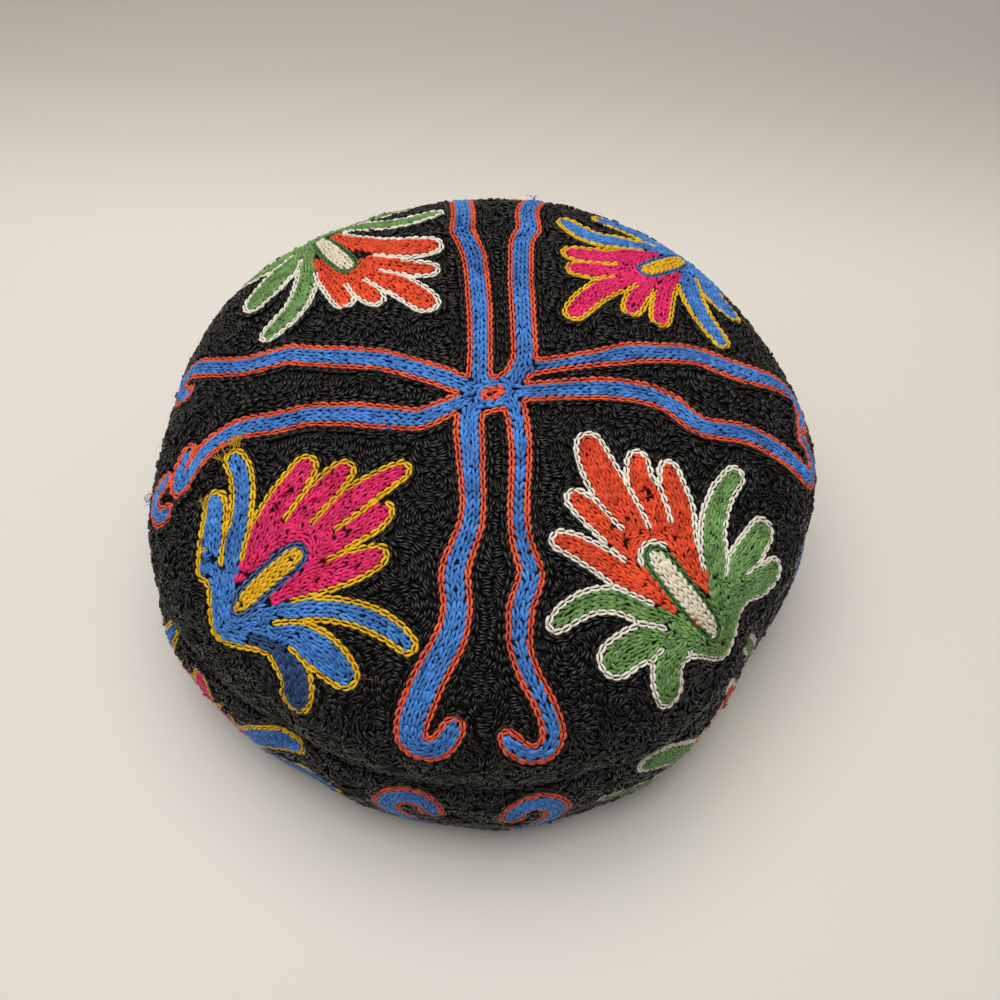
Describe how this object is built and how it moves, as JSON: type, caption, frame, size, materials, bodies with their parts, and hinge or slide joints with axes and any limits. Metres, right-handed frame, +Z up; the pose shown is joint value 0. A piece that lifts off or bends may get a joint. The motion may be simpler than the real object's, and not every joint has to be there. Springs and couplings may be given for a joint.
{
  "type": "skullcap",
  "caption": "Soft round skullcap, a low domed crown sewn to an upright side band and open below, with chain-stitch flowers and a cross of paired vines on black.",
  "frame": {"origin": "centre of the cap's outer box, on the plane of the hem", "axes": "+Z up from the hem to the crown, -Y the front as pictured, +X to the right in the picture"},
  "size_m": [0.1908, 0.1924, 0.0854],
  "materials": {
    "crown_cloth": "matte black cotton covered in chain stitch",
    "band_cloth": "matte black cotton covered in chain stitch"
  },
  "bodies": {
    "root": {"crown": "crown_cloth", "side_band": "band_cloth"}
  },
  "joints": []
}
